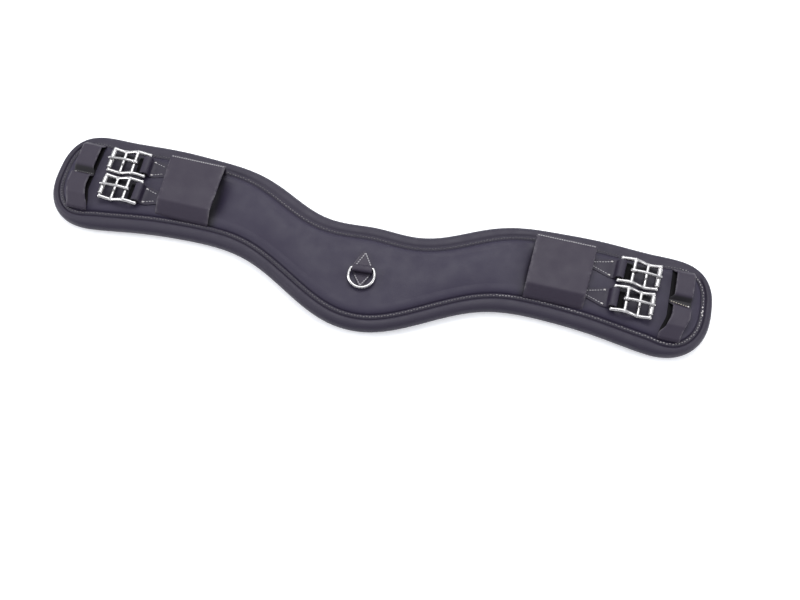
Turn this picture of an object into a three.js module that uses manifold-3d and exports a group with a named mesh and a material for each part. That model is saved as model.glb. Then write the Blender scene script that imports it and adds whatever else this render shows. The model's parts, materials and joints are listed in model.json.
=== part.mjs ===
// A contoured leather saddle girth, lying on its lining with the buckles up.
// Units are millimetres. +X runs along the girth, +Y across it towards the edge that is
// hollowed for the elbows, and +Z up. The origin is the middle of the footprint, on the
// plane that the lining rests on.
import * as THREE from "three";
import { mergeVertices } from "three/addons/utils/BufferGeometryUtils.js";
import Module from "manifold-3d";

const wasm = await Module();
wasm.setup();

// Plan of the whole girth.
const HALF_LENGTH = 390;
const CENTRE_LEVEL = 31.65;
const CENTRE_DROP = 54.1;
const CENTRE_DROP_REACH = 113.6;
const CENTRE_DROP_POWER = 2.8;
const SHOULDER_SAG = 7.8;
const SHOULDER_X = 337;
const SHOULDER_REACH = 62.7;
const WAIST_HALF_WIDTH = 52.3;
const BELLY = 13.4;
const BELLY_REACH = 58.7;
const FLARE = 13.2;
const END_START = 321.3;
const END_POWER = 2.5;
const END_PINCH = 4.5;
const PINCH_START = 318;
const PINCH_END = 368;
const EDGE_POINTS = 80;
const MAIN_SHARE = 0.7;

// Layers, from the lining up.
const GAP = 0.3;
const PAD_EDGE_RADIUS = 8.5;
const PAD_EDGE_HEIGHT = 17.2;
const LINER_THICKNESS = 1.5;
const INNER_EDGE_DEGREES = [-90, -45, 0, 45, 90];
const LIP_OFFSET = 12.4;
const LIP_TOP = 14.9;
const RIM_INNER = 19.3;
const RIM_BASE = 13.5;
const RIM_TOP = 17.8;
const SEAM = 20.5;
const COVER_TOP = 20;
const COVER_THICKNESS = 2.4;
const COVER_BASE = 15;
const CROWN_REACH = 9;
const FOAM_TOP = 12.8;
const WEB_BOTTOM = 13.1;
const WEB_THICKNESS = 1.6;
const WEB_WIDTH = 46;
const WEB_REACH = 300;
const PADDING_BOTTOM = 15.1;
const STRAP_BASE = COVER_TOP + GAP;

// Keeper tunnels, stitched down along both long seams.
const KEEPER_INBOARD = 188;
const KEEPER_OUTBOARD = 252;
const KEEPER_TOP = 30.5;
const KEEPER_THICKNESS = 2;
const KEEPER_NEAR_FOLD = 9;
const KEEPER_FAR_BULGE = 3;

// Double billet loops, one strap stitched down at both ends and between the loops.
const LOOP_INBOARD = 341;
const LOOP_OUTBOARD = 366;
const LOOP_TOP = 28;
const LOOP_THICKNESS = 2;
const LOOP_NEAR_FOLD = -6;
const LOOP_NEAR_CREST = 21;
const LOOP_SEAM_Y = 27;
const LOOP_FAR_CREST = 35;
const LOOP_FAR_FOLD = 62;
const LOOP_WALL_RUN = 5;
const LOOP_LEAN = 6.5;
const LEAN_START = 12;
const LEAN_END = -16;
const LOOP_STATIONS = 4;

// Buckles: each frame has four bars, and the outermost carries the roller. A row is placed
// by the middle of its innermost bar, and turned (degrees) to follow the girth's sweep.
// Bars are [x, z], with x from the innermost bar.
const BUCKLE_ROWS = {
  far: { x: 282.5, y: 51.2, turn: -3 },
  near: { x: 279.9, y: 14.5, turn: -1.8 },
};
const WIRE_SIDES = 8;
const RAIL_SPACING = 29;
const RAIL_RADIUS = 1.7;
const BAR_RADIUS = 1.5;
const BORE_RADIUS = 1.95;
const CHAPE_BAR = [0, 25.4];
const TONGUE_BAR = [14.3, 28.5];
const CROSS_BAR = [29.8, 23.6];
const ROLLER_BAR = [43, 27];
const ROLLER_RADIUS = 3;
const ROLLER_LENGTH = 23;
const KNUCKLE_RADIUS = 3.4;
const KNUCKLE_WIDTH = 5;
const PRONG_RADIUS = 1.4;
const PRONG_TIP_X = 46.5;

// Buckle chapes: a strap folded round the innermost bar, with a pointed tail.
const CHAPE_WIDTH = 23.5;
const CHAPE_ROLL_RADIUS = CHAPE_BAR[1] - STRAP_BASE;
const CHAPE_TAIL_THICKNESS = 2.6;
const CHAPE_SHOULDER_X = -10.5;
const CHAPE_TIP_X = -46.5;

// Middle D-ring, its folded chape and the pointed patch under both.
const RING_PLACE = [-0.9, -17.8];
const RING_TURN = THREE.MathUtils.degToRad(8);
const RING_RADIUS = 14.7;
const RING_WIRE = 1.7;
const RING_DROP = 8.2;
const BOW_STEPS = 12;
const PATCH_THICKNESS = 1.2;
const PATCH_REACH = 23;
const PATCH_HALF_WIDTH = 12;
const RING_BORE = 2.15;
const RING_ROLL = 3.4;
const RING_CHAPE_WIDTH = 20.2;
const RING_TAIL_THICKNESS = 1.6;
const RING_BAR_Z = STRAP_BASE + PATCH_THICKNESS + GAP + RING_ROLL;
const RING_TIP_Z = STRAP_BASE + PATCH_THICKNESS + 0.1 + RING_WIRE;

const MATERIALS = {
  cover: leather(0x53505d, 0.55),
  lining: leather(0x474551, 0.6),
  rim: leather(0x4b4855, 0.55),
  strap: leather(0x565260, 0.5),
  foam: leather(0x8d8a85, 0.9),
  web: leather(0x3a3a40, 0.85),
  steel: new THREE.MeshStandardMaterial({ color: 0xc9cbd0, roughness: 0.22, metalness: 1 }),
};

function leather(color, roughness) {
  return new THREE.MeshStandardMaterial({ color, roughness, metalness: 0 });
}

// ---- Closed surfaces -------------------------------------------------------------------

const inPlan = (p) => new THREE.Vector2(p.x, p.y);
const inSection = (p) => new THREE.Vector2(p.y, p.z);

// Fills a flat ring of points. Its triangles follow the ring's own direction, or oppose it.
function cap(ring, first, flatten, opposed) {
  const contour = ring.map(flatten);
  const flip = opposed !== THREE.ShapeUtils.area(contour) < 0;
  return THREE.ShapeUtils.triangulateShape(contour, []).map(([a, b, c]) =>
    flip ? [first + c, first + b, first + a] : [first + a, first + b, first + c],
  );
}

// Joins rings of points into one closed body: round on itself, or capped at both ends.
function skin(rings, { loop = false, flatten = inPlan } = {}) {
  const count = rings[0].length;
  const faces = [];
  for (let r = 0; r < rings.length - (loop ? 0 : 1); r += 1) {
    const here = r * count;
    const next = ((r + 1) % rings.length) * count;
    for (let j = 0; j < count; j += 1) {
      const k = (j + 1) % count;
      faces.push([here + j, here + k, next + k], [here + j, next + k, next + j]);
    }
  }
  if (!loop) {
    const last = (rings.length - 1) * count;
    faces.push(...cap(rings[0], 0, flatten, true), ...cap(rings.at(-1), last, flatten, false));
  }
  const points = rings.flat();
  const volume = faces.reduce((sum, [a, b, c]) => {
    const normal = new THREE.Vector3().crossVectors(points[b], points[c]);
    return sum + points[a].dot(normal);
  }, 0);
  const outward = volume < 0 ? faces.map(([a, b, c]) => [c, b, a]) : faces;
  return new THREE.BufferGeometry().setFromPoints(points).setIndex(outward.flat());
}

// A three.js geometry as a solid that can be joined and cut.
function solid(geometry) {
  const bare = geometry.clone().deleteAttribute("normal").deleteAttribute("uv");
  const merged = mergeVertices(bare, 1e-4);
  return new wasm.Manifold(
    new wasm.Mesh({
      numProp: 3,
      vertProperties: new Float32Array(merged.attributes.position.array),
      triVerts: new Uint32Array(merged.index.array),
    }),
  );
}

function geometryOf(body) {
  const mesh = body.getMesh();
  const geometry = new THREE.BufferGeometry();
  geometry.setAttribute("position", new THREE.BufferAttribute(mesh.vertProperties, 3));
  return geometry.setIndex(new THREE.BufferAttribute(mesh.triVerts, 1));
}

const join = (geometries) => geometries.map(solid).reduce((sum, one) => sum.add(one));
const cut = (body, geometries) => geometries.map(solid).reduce((sum, one) => sum.subtract(one), body);

// A rod along Y through (x, z).
const rodAcross = ([x, z], radius, length, sides = WIRE_SIDES) =>
  new THREE.CylinderGeometry(radius, radius, length, sides).translate(x, 0, z);

// A small ball that rounds off a corner or an end of round wire.
const ball = (radius, x, y, z) =>
  new THREE.SphereGeometry(radius + 0.1, 6, 4).translate(x, y, z);

// A round wire along a curve. A full circle is drawn with twice the curve segments.
function wire(curve, radius, steps) {
  const section = new THREE.Shape();
  section.absarc(0, 0, radius, 0, 2 * Math.PI, false);
  return new THREE.ExtrudeGeometry(section, {
    steps,
    curveSegments: WIRE_SIDES / 2,
    extrudePath: curve,
    bevelEnabled: false,
  });
}

// A plate with the given outline in plan, from one height to another.
function plate(outline, bottom, top) {
  const shape = new THREE.Shape(outline.map(([x, y]) => new THREE.Vector2(x, y)));
  const options = { depth: top - bottom, bevelEnabled: false };
  return new THREE.ExtrudeGeometry(shape, options).translate(0, 0, bottom);
}

// ---- The girth's outline ---------------------------------------------------------------

const bump = (distance, power = 2) => Math.exp(-(Math.abs(distance) ** power));

function centreAt(x) {
  const drop = CENTRE_DROP * bump(x / CENTRE_DROP_REACH, CENTRE_DROP_POWER);
  return CENTRE_LEVEL - drop - SHOULDER_SAG * bump((x - SHOULDER_X) / SHOULDER_REACH);
}

const halfWidthAt = (x) =>
  WAIST_HALF_WIDTH + BELLY * bump(x / BELLY_REACH) + FLARE * (x / HALF_LENGTH) ** 2;

// Along one quarter of the edge, from the middle (0) to the tip (1): the distance from the
// middle, and the share of the half-width that is left as the end rounds off.
function quarterAt(t) {
  if (t < MAIN_SHARE) {
    return [(END_START * t) / MAIN_SHARE, 1];
  }
  const angle = ((Math.PI / 2) * (t - MAIN_SHARE)) / (1 - MAIN_SHARE);
  const reach = Math.sin(angle) ** (2 / END_POWER);
  return [END_START + (HALF_LENGTH - END_START) * reach, Math.cos(angle) ** (2 / END_POWER)];
}

// The edge at s from 0 to 1, clockwise from the middle of the far side.
function edgeAt(s) {
  const turn = 4 * (s - Math.floor(s));
  const quarter = Math.floor(turn);
  const t = turn - quarter;
  const [x, share] = quarterAt(quarter % 2 === 0 ? t : 1 - t);
  const across = quarter === 0 || quarter === 3 ? 1 : -1;
  const along = quarter < 2 ? 1 : -1;
  return new THREE.Vector2(along * x, centreAt(x) + across * share * halfWidthAt(x));
}

// The edge moved inwards by an offset, as a ring of points at one height. The rolled edge is
// narrower round the ends, so every offset past it shrinks there too.
function edgeRing(offset, z) {
  const step = 1e-4;
  return Array.from({ length: EDGE_POINTS }, (_, i) => {
    const s = i / EDGE_POINTS;
    const along = edgeAt(s + step).sub(edgeAt(s - step)).normalize();
    const p = edgeAt(s);
    const pinch = END_PINCH * THREE.MathUtils.smoothstep(Math.abs(p.x), PINCH_START, PINCH_END);
    const inwards = offset - pinch * Math.min(1, offset / LIP_OFFSET);
    return new THREE.Vector3(p.x + along.y * inwards, p.y - along.x * inwards, z);
  });
}

const edgeRings = (profile) => profile.map(([offset, z]) => edgeRing(offset, z));

// Where the seam round the cover crosses a station x: on its near (-Y) or far (+Y) side.
function seamAt(x) {
  const seam = edgeRing(SEAM, 0);
  const crossings = seam.flatMap((p, i) => {
    const q = seam[(i + 1) % seam.length];
    return (p.x - x) * (q.x - x) > 0 ? [] : [p.y + ((q.y - p.y) * (x - p.x)) / (q.x - p.x)];
  });
  return [Math.min(...crossings), Math.max(...crossings)];
}

// ---- The padded body -------------------------------------------------------------------

// The rolled edge of the pad in section, a given depth under its outer surface.
function rolledEdge(depth, degrees) {
  const half = PAD_EDGE_HEIGHT / 2;
  return degrees.map((angle) => {
    const a = THREE.MathUtils.degToRad(angle);
    const across = PAD_EDGE_RADIUS - (PAD_EDGE_RADIUS - depth) * Math.cos(a);
    return [across, half + (half - depth) * Math.sin(a)];
  });
}

// The lining is a shallow open tray: flat below, rolled up round the foam, and turned in.
function liner() {
  const outside = rolledEdge(0, [-90, -60, -30, 0, 30, 60, 90]);
  const inside = rolledEdge(LINER_THICKNESS, INNER_EDGE_DEGREES).reverse();
  const lip = [
    [LIP_OFFSET, LIP_TOP],
    [LIP_OFFSET, LIP_TOP - LINER_THICKNESS],
  ];
  return skin(edgeRings([...outside, ...lip, ...inside]));
}

function foamPad() {
  const depth = LINER_THICKNESS + GAP + 0.1;
  const edge = rolledEdge(depth, INNER_EDGE_DEGREES);
  return skin(edgeRings([...edge, [LIP_OFFSET, FOAM_TOP]]));
}

function edgeRim() {
  const outer = LIP_OFFSET + GAP + 0.1;
  const middle = (outer + RIM_INNER) / 2;
  const profile = [
    [outer, RIM_BASE],
    [outer, RIM_TOP - 2.6],
    [outer + 1.3, RIM_TOP - 0.8],
    [middle, RIM_TOP],
    [RIM_INNER - 1.3, RIM_TOP - 0.8],
    [RIM_INNER, RIM_TOP - 2.6],
    [RIM_INNER, RIM_BASE],
  ];
  return skin(edgeRings(profile), { loop: true });
}

// The cover drops to the seam all round, so it is a shallow dish turned upside down.
function topCover() {
  const start = RIM_INNER + GAP + 0.1;
  const under = COVER_TOP - COVER_THICKNESS;
  const profile = [
    [start + CROWN_REACH, under],
    [start + 4, under - 1.2],
    [start + 1, COVER_BASE],
    [start, COVER_BASE],
    [start, COVER_TOP - 3.6],
    [start + 1.4, COVER_TOP - 2.4],
    [start + 4, COVER_TOP - 1],
    [start + CROWN_REACH, COVER_TOP],
  ];
  return skin(edgeRings(profile));
}

function coverPadding() {
  const start = RIM_INNER + CROWN_REACH - 1;
  const top = COVER_TOP - COVER_THICKNESS - GAP;
  return skin(edgeRings([[start, PADDING_BOTTOM], [start, top - 1], [start + 2.5, top]]));
}

// A flat nylon web that follows the girth's centre line from buckles to buckles.
function webCore() {
  const stations = 24;
  const sections = Array.from({ length: stations + 1 }, (_, i) => {
    const x = WEB_REACH * ((2 * i) / stations - 1);
    const y = centreAt(Math.abs(x));
    const top = WEB_BOTTOM + WEB_THICKNESS;
    return [
      new THREE.Vector3(x, y - WEB_WIDTH / 2, WEB_BOTTOM),
      new THREE.Vector3(x, y + WEB_WIDTH / 2, WEB_BOTTOM),
      new THREE.Vector3(x, y + WEB_WIDTH / 2, top),
      new THREE.Vector3(x, y - WEB_WIDTH / 2, top),
    ];
  });
  return skin(sections, { flatten: inSection });
}

// ---- Leather fittings at one end -------------------------------------------------------

// A strap seen end on: its upper line, and the same line one thickness below, back again.
// The near end of a strap may lean inboard.
const strapSection = (x, upper, lower, lean = 0) =>
  [...upper, ...lower].map(([y, z]) => {
    const share = 1 - THREE.MathUtils.smoothstep(y, LEAN_END, LEAN_START);
    return new THREE.Vector3(x - lean * share, y, z);
  });

function keeperSection(x) {
  const [near, far] = seamAt(x);
  const foot = STRAP_BASE;
  const under = KEEPER_TOP - KEEPER_THICKNESS;
  const upper = [
    [near + 0.5, foot],
    [near + 0.8, foot + 1.4],
    [KEEPER_NEAR_FOLD - 1.5, KEEPER_TOP - 0.7],
    [KEEPER_NEAR_FOLD + 1, KEEPER_TOP],
    [far + KEEPER_FAR_BULGE - 1.4, KEEPER_TOP],
    [far + KEEPER_FAR_BULGE, KEEPER_TOP - 1.4],
    [far - 0.3, foot],
  ];
  const lower = [
    [far - 2.4, foot],
    [far + KEEPER_FAR_BULGE - 2.4, under],
    [KEEPER_NEAR_FOLD + 1.3, under],
    [near + 3.8, foot],
  ];
  return strapSection(x, upper, lower);
}

function keeper() {
  const middle = (KEEPER_INBOARD + KEEPER_OUTBOARD) / 2;
  const sections = [KEEPER_INBOARD, middle, KEEPER_OUTBOARD].map(keeperSection);
  return skin(sections, { flatten: inSection });
}

function loopSection(x) {
  const near = seamAt(x - LOOP_LEAN)[0];
  const far = seamAt(x)[1];
  const foot = STRAP_BASE;
  const sewn = foot + LOOP_THICKNESS;
  const under = LOOP_TOP - LOOP_THICKNESS;
  const nearFold = Math.max(LOOP_NEAR_FOLD, near + LOOP_WALL_RUN + 1);
  const farFold = Math.min(LOOP_FAR_FOLD, far - LOOP_WALL_RUN);
  const upper = [
    [near + 0.5, foot],
    [near + 0.8, sewn - 0.6],
    [nearFold, LOOP_TOP - 0.6],
    [nearFold + 2, LOOP_TOP],
    [LOOP_NEAR_CREST, LOOP_TOP],
    [LOOP_SEAM_Y - 2, sewn],
    [LOOP_SEAM_Y + 2, sewn],
    [LOOP_FAR_CREST, LOOP_TOP],
    [farFold - 2, LOOP_TOP],
    [farFold, LOOP_TOP - 0.6],
    [far - 0.8, sewn - 0.6],
    [far - 0.5, foot],
  ];
  const lower = [
    [far - 3.5, foot],
    [farFold - 2, under],
    [LOOP_FAR_CREST + 1.2, under],
    [LOOP_SEAM_Y + 3.6, foot],
    [LOOP_SEAM_Y - 3.6, foot],
    [LOOP_NEAR_CREST - 1.2, under],
    [nearFold + 2, under],
    [near + 3.8, foot],
  ];
  return strapSection(x, upper, lower, LOOP_LEAN);
}

function billetLoops() {
  const sections = Array.from({ length: LOOP_STATIONS + 1 }, (_, i) =>
    loopSection(THREE.MathUtils.lerp(LOOP_INBOARD, LOOP_OUTBOARD, i / LOOP_STATIONS)),
  );
  return skin(sections, { flatten: inSection });
}

function chape() {
  const half = CHAPE_WIDTH / 2;
  const tail = [
    [CHAPE_BAR[0], -half],
    [CHAPE_BAR[0], half],
    [CHAPE_SHOULDER_X, half],
    [CHAPE_TIP_X, 1.5],
    [CHAPE_TIP_X, -1.5],
    [CHAPE_SHOULDER_X, -half],
  ];
  const strap = join([
    plate(tail, STRAP_BASE, STRAP_BASE + CHAPE_TAIL_THICKNESS),
    rodAcross(CHAPE_BAR, CHAPE_ROLL_RADIUS, CHAPE_WIDTH, 16),
  ]);
  return geometryOf(cut(strap, [rodAcross(CHAPE_BAR, BORE_RADIUS, CHAPE_WIDTH + 2, 12)]));
}

// ---- Buckles ---------------------------------------------------------------------------

function buckleFrame() {
  const bars = [CHAPE_BAR, TONGUE_BAR, CROSS_BAR, ROLLER_BAR];
  const pieces = bars.map((bar) => rodAcross(bar, BAR_RADIUS, RAIL_SPACING));
  [-RAIL_SPACING / 2, RAIL_SPACING / 2].forEach((y) => {
    const rail = new THREE.CatmullRomCurve3(bars.map(([x, z]) => new THREE.Vector3(x, y, z)));
    pieces.push(wire(rail, RAIL_RADIUS, 8));
    [CHAPE_BAR, ROLLER_BAR].forEach(([x, z]) => {
      pieces.push(ball(RAIL_RADIUS, x, y, z));
    });
  });
  return geometryOf(join(pieces));
}

function buckleRoller() {
  const half = ROLLER_LENGTH / 2;
  const profile = [
    [BORE_RADIUS, -half],
    [ROLLER_RADIUS, -half],
    [ROLLER_RADIUS, half],
    [BORE_RADIUS, half],
    [BORE_RADIUS, -half],
  ];
  const points = profile.map(([r, y]) => new THREE.Vector2(r, y));
  return new THREE.LatheGeometry(points, 14).translate(ROLLER_BAR[0], 0, ROLLER_BAR[1]);
}

// The prong springs from the top of its knuckle and rests on the roller.
function buckleTongue() {
  const [x, z] = TONGUE_BAR;
  const rest = ROLLER_BAR[1] + ROLLER_RADIUS + PRONG_RADIUS + GAP;
  const path = [
    [x + 0.5, z + 1.9],
    [x + 7, rest + 0.5],
    [x + 19, rest + 0.6],
    [ROLLER_BAR[0], rest],
    [PRONG_TIP_X, rest - 0.5],
  ];
  const curve = new THREE.CatmullRomCurve3(path.map(([px, pz]) => new THREE.Vector3(px, 0, pz)));
  const made = join([
    rodAcross(TONGUE_BAR, KNUCKLE_RADIUS, KNUCKLE_WIDTH, 14),
    wire(curve, PRONG_RADIUS, 6),
    ball(PRONG_RADIUS, PRONG_TIP_X, 0, rest - 0.5),
  ]);
  return geometryOf(cut(made, [rodAcross(TONGUE_BAR, BORE_RADIUS, KNUCKLE_WIDTH + 2, 12)]));
}

// ---- Middle D-ring, drawn about its bar: X along the bar, -Y towards the bow --------------

function dRing() {
  const half = Math.sqrt(RING_RADIUS ** 2 - RING_DROP ** 2);
  const start = Math.atan2(RING_DROP, half);
  const sweep = Math.PI + 2 * start;
  const bow = Array.from({ length: BOW_STEPS + 1 }, (_, i) => {
    const angle = start - (sweep * i) / BOW_STEPS;
    const y = RING_RADIUS * Math.sin(angle) - RING_DROP;
    return new THREE.Vector3(RING_RADIUS * Math.cos(angle), y, 0);
  });
  const bar = new THREE.CylinderGeometry(RING_WIRE, RING_WIRE, 2 * half, 8).rotateZ(Math.PI / 2);
  const corners = [-half, half].map((x) => ball(RING_WIRE, x, 0, 0));
  const curve = new THREE.CatmullRomCurve3(bow);
  return geometryOf(join([wire(curve, RING_WIRE, BOW_STEPS), bar, ...corners]));
}

function ringPatch() {
  const outline = [
    [-PATCH_HALF_WIDTH, 0],
    [-1.5, -PATCH_REACH],
    [1.5, -PATCH_REACH],
    [PATCH_HALF_WIDTH, 0],
    [1.5, PATCH_REACH],
    [-1.5, PATCH_REACH],
  ];
  return plate(outline, STRAP_BASE, STRAP_BASE + PATCH_THICKNESS);
}

function ringChape() {
  const half = RING_CHAPE_WIDTH / 2;
  const bottom = STRAP_BASE + PATCH_THICKNESS + GAP;
  const tail = [
    [-half, 0],
    [half, 0],
    [half, 4],
    [1.5, PATCH_REACH - 0.5],
    [-1.5, PATCH_REACH - 0.5],
    [-half, 4],
  ];
  const across = (radius, length, sides) =>
    new THREE.CylinderGeometry(radius, radius, length, sides)
      .rotateZ(Math.PI / 2)
      .translate(0, 0, RING_BAR_Z);
  const strap = join([
    plate(tail, bottom, bottom + RING_TAIL_THICKNESS),
    across(RING_ROLL, RING_CHAPE_WIDTH, 16),
  ]);
  return geometryOf(cut(strap, [across(RING_BORE, RING_CHAPE_WIDTH + 2, 12)]));
}

// ---- Assembly --------------------------------------------------------------------------

const girth = new THREE.Group();

function add(parent, name, geometry, material) {
  const mesh = new THREE.Mesh(geometry, MATERIALS[material]);
  mesh.name = name;
  parent.add(mesh);
  return mesh;
}

add(girth, "liner", liner(), "lining");
add(girth, "foam_pad", foamPad(), "foam");
add(girth, "web_core", webCore(), "web");
add(girth, "cover_padding", coverPadding(), "foam");
add(girth, "top_cover", topCover(), "cover");
add(girth, "edge_rim", edgeRim(), "rim");

// Both ends carry the same fittings, and the left end mirrors the right one.
Object.entries({ left: -1, right: 1 }).forEach(([side, along]) => {
  const end = new THREE.Group();
  end.scale.x = along;
  girth.add(end);
  add(end, `keeper_${side}`, keeper(), "strap");
  add(end, `billet_loops_${side}`, billetLoops(), "strap");
  Object.entries(BUCKLE_ROWS).forEach(([row, { x, y, turn }]) => {
    const buckle = new THREE.Group();
    buckle.position.set(x, y, 0);
    buckle.rotation.z = THREE.MathUtils.degToRad(turn);
    end.add(buckle);
    add(buckle, `chape_${side}_${row}`, chape(), "strap");
    add(buckle, `buckle_frame_${side}_${row}`, buckleFrame(), "steel");
    add(buckle, `buckle_roller_${side}_${row}`, buckleRoller(), "steel");
    add(buckle, `buckle_tongue_${side}_${row}`, buckleTongue(), "steel");
  });
});

const middle = new THREE.Group();
middle.position.set(...RING_PLACE, 0);
middle.rotation.z = RING_TURN;
girth.add(middle);
add(middle, "d_ring_patch", ringPatch(), "strap");
add(middle, "d_ring_chape", ringChape(), "strap");
const ring = add(middle, "d_ring", dRing(), "steel");
ring.position.z = RING_BAR_Z;
ring.rotation.x = Math.asin((RING_BAR_Z - RING_TIP_Z) / (RING_RADIUS + RING_DROP));

export default girth;
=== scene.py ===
import json
import math

import bmesh
import bpy
import numpy as np
from mathutils import Matrix, Vector
from mathutils.kdtree import KDTree


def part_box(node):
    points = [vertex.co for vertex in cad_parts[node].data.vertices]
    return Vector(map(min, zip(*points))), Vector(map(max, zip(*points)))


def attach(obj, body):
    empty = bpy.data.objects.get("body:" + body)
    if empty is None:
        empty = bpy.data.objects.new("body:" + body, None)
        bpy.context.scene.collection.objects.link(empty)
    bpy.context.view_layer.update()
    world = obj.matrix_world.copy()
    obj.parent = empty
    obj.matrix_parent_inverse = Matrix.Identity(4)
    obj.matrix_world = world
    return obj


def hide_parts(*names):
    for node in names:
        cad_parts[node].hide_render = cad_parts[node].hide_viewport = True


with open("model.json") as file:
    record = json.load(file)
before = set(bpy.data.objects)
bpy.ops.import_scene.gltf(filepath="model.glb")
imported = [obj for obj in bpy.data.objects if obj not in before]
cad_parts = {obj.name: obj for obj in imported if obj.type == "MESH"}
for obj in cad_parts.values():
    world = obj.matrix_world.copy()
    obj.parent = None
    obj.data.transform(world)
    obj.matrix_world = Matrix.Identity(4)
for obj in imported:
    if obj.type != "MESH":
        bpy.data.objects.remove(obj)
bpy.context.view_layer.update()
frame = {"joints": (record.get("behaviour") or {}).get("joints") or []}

# ---- Driving dimensions, in millimetres. MM turns them into Blender's metres. ----------
MM = 0.001

HALF_LENGTH = 390.0
CENTRE_LEVEL = 31.65
CENTRE_DROP = 54.1
CENTRE_DROP_REACH = 113.6
CENTRE_DROP_POWER = 2.8
SHOULDER_SAG = 7.8
SHOULDER_X = 337.0
SHOULDER_REACH = 62.7
WAIST_HALF_WIDTH = 52.3
BELLY = 13.4
BELLY_REACH = 58.7
FLARE = 13.2
END_START = 321.3
END_POWER = 2.5
MAIN_SHARE = 0.7
END_PINCH = 4.5
PINCH_START = 318.0
PINCH_END = 368.0
MEDIAL_END = 330.0

LIP_OFFSET = 12.4
PAD_RADIUS = 8.5
PAD_HEIGHT = 17.2
RIM_CREST = 16.6
RIM_TOP_Z = 16.45
RIM_PROFILE = [
    (13.6, 12.6),
    (13.3, 13.6),
    (13.5, 14.5),
    (14.1, 15.3),
    (15.0, 15.95),
    (15.8, 16.3),
    (16.6, 16.4),
    (17.4, 16.3),
    (18.2, 16.1),
    (18.9, 15.8),
    (19.5, 15.2),
    (19.4, 12.8),
]
COVER_EDGE = 19.0
SEAM = 20.2
TIP_EXTRA = {-1: -0.8, 1: 2.4}
NEAR_SHIFT = 0.7
NEAR_SHIFT_ENDS = 1.4
FAR_SHIFT = 1.2
SHIFT_START = 100.0
SHIFT_END = 170.0
STRAP_BASE = 20.3
STITCH_PITCH = 3.4
KEEPER_MOUTH_X = 190.0

SIDES = {"left": -1, "right": 1}
ROWS = ("far", "near")
JOINTS = {joint["name"]: joint for joint in frame["joints"]}


# ---- The girth's outline ---------------------------------------------------------------
def bump(distance, power=2.0):
    return np.exp(-(np.abs(distance) ** power))


def smoothstep(value, low, high):
    t = np.clip((value - low) / (high - low), 0, 1)
    return t * t * (3 - 2 * t)


def centre_y(x):
    drop = CENTRE_DROP * bump(x / CENTRE_DROP_REACH, CENTRE_DROP_POWER)
    return CENTRE_LEVEL - drop - SHOULDER_SAG * bump((np.abs(x) - SHOULDER_X) / SHOULDER_REACH)


def half_width(x):
    return WAIST_HALF_WIDTH + BELLY * bump(x / BELLY_REACH) + FLARE * (x / HALF_LENGTH) ** 2


def far_fullness(x):
    """The far side lies a little fuller than the near one, most of all right of the middle."""
    return 0.4 + 1.9 * bump((x - 100) / 100) + 0.9 * smoothstep(np.abs(x), 200, 260)


def edge(s):
    """The outline at s from 0 to 1, clockwise from the middle of the far side."""
    turn = 4 * (s - np.floor(s))
    quarter = np.floor(turn)
    t = turn - quarter
    t = np.where(quarter % 2 == 0, t, 1 - t)
    angle = np.clip((t - MAIN_SHARE) / (1 - MAIN_SHARE), 0, 1) * math.pi / 2
    reach = np.sin(angle) ** (2 / END_POWER)
    tip = HALF_LENGTH - END_START + np.where(quarter < 2, TIP_EXTRA[1], TIP_EXTRA[-1])
    x = np.minimum(t / MAIN_SHARE, 1) * END_START + tip * reach
    share = np.maximum(np.cos(angle), 0) ** (2 / END_POWER)
    across = np.where((quarter == 0) | (quarter == 3), 1, -1)
    along = np.where(quarter < 2, 1, -1)
    y = centre_y(x) + across * share * half_width(x)
    return np.stack([along * x, y + (across > 0) * share * far_fullness(along * x)], -1)


def inward(s):
    step = 1e-4
    along = edge(s + step) - edge(s - step)
    along /= np.linalg.norm(along, axis=-1, keepdims=True)
    return np.stack([along[..., 1], -along[..., 0]], -1)


def inset(s, offset):
    """The outline moved inwards. The rolled edge is narrower round the ends."""
    p = edge(s)
    reach = np.abs(p[..., 0])
    share = np.minimum(1, np.asarray(offset) / LIP_OFFSET)
    moved = offset - END_PINCH * smoothstep(reach, PINCH_START, PINCH_END) * share
    direction = inward(s)
    outer = smoothstep(reach, SHIFT_START, SHIFT_END)
    near = -NEAR_SHIFT + (NEAR_SHIFT + NEAR_SHIFT_ENDS) * outer
    shift = np.where(direction[..., 1] > 0, near, FAR_SHIFT * (1 - outer))
    shift = shift * smoothstep(np.abs(direction[..., 1]), 0.1, 0.6)
    moved = moved + shift * (1 - smoothstep(reach, PINCH_START, PINCH_END)) * share**2
    return p + direction * np.asarray(moved)[..., None]


def groove_floor(s):
    """The grooves beside the rim are shallow along the far side and fade out at its ends."""
    far = smoothstep(-inward(s)[..., 1], 0.3, 0.8)
    return 12.0 + far * (3.4 + 1.0 * smoothstep(np.abs(edge(s)[..., 0]), 150, 240))


def filled(z):
    """A height that doesn't go below the bottom of the groove."""
    return lambda s: np.maximum(z, groove_floor(s))


def medial(s):
    """The point on the middle line that the outline at s shrinks to."""
    x = edge(s)[..., 0]
    x = np.clip(x, -MEDIAL_END, MEDIAL_END)
    return np.stack([x, centre_y(x)], -1)


def even_steps(offset, pitch):
    """Values of s that are one pitch apart along the outline moved in by an offset."""
    s = np.linspace(0, 1, 8001)
    p = inset(s, offset)
    length = np.concatenate([[0], np.cumsum(np.linalg.norm(np.diff(p, axis=0), axis=1))])
    count = int(round(length[-1] / pitch))
    return np.interp(np.arange(count) * length[-1] / count, length, s)


def seam_y(x, far):
    """Where the cover's seam crosses station x, on its far or near side."""
    s = np.linspace(0, 1, 4001)
    p = inset(s, SEAM)
    hits = np.nonzero((p[:-1, 0] - x) * (p[1:, 0] - x) <= 0)[0]
    return p[hits, 1].max() if far else p[hits, 1].min()


# ---- Mesh helpers ----------------------------------------------------------------------
def shade_smooth(data):
    data.polygons.foreach_set("use_smooth", [True] * len(data.polygons))


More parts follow.
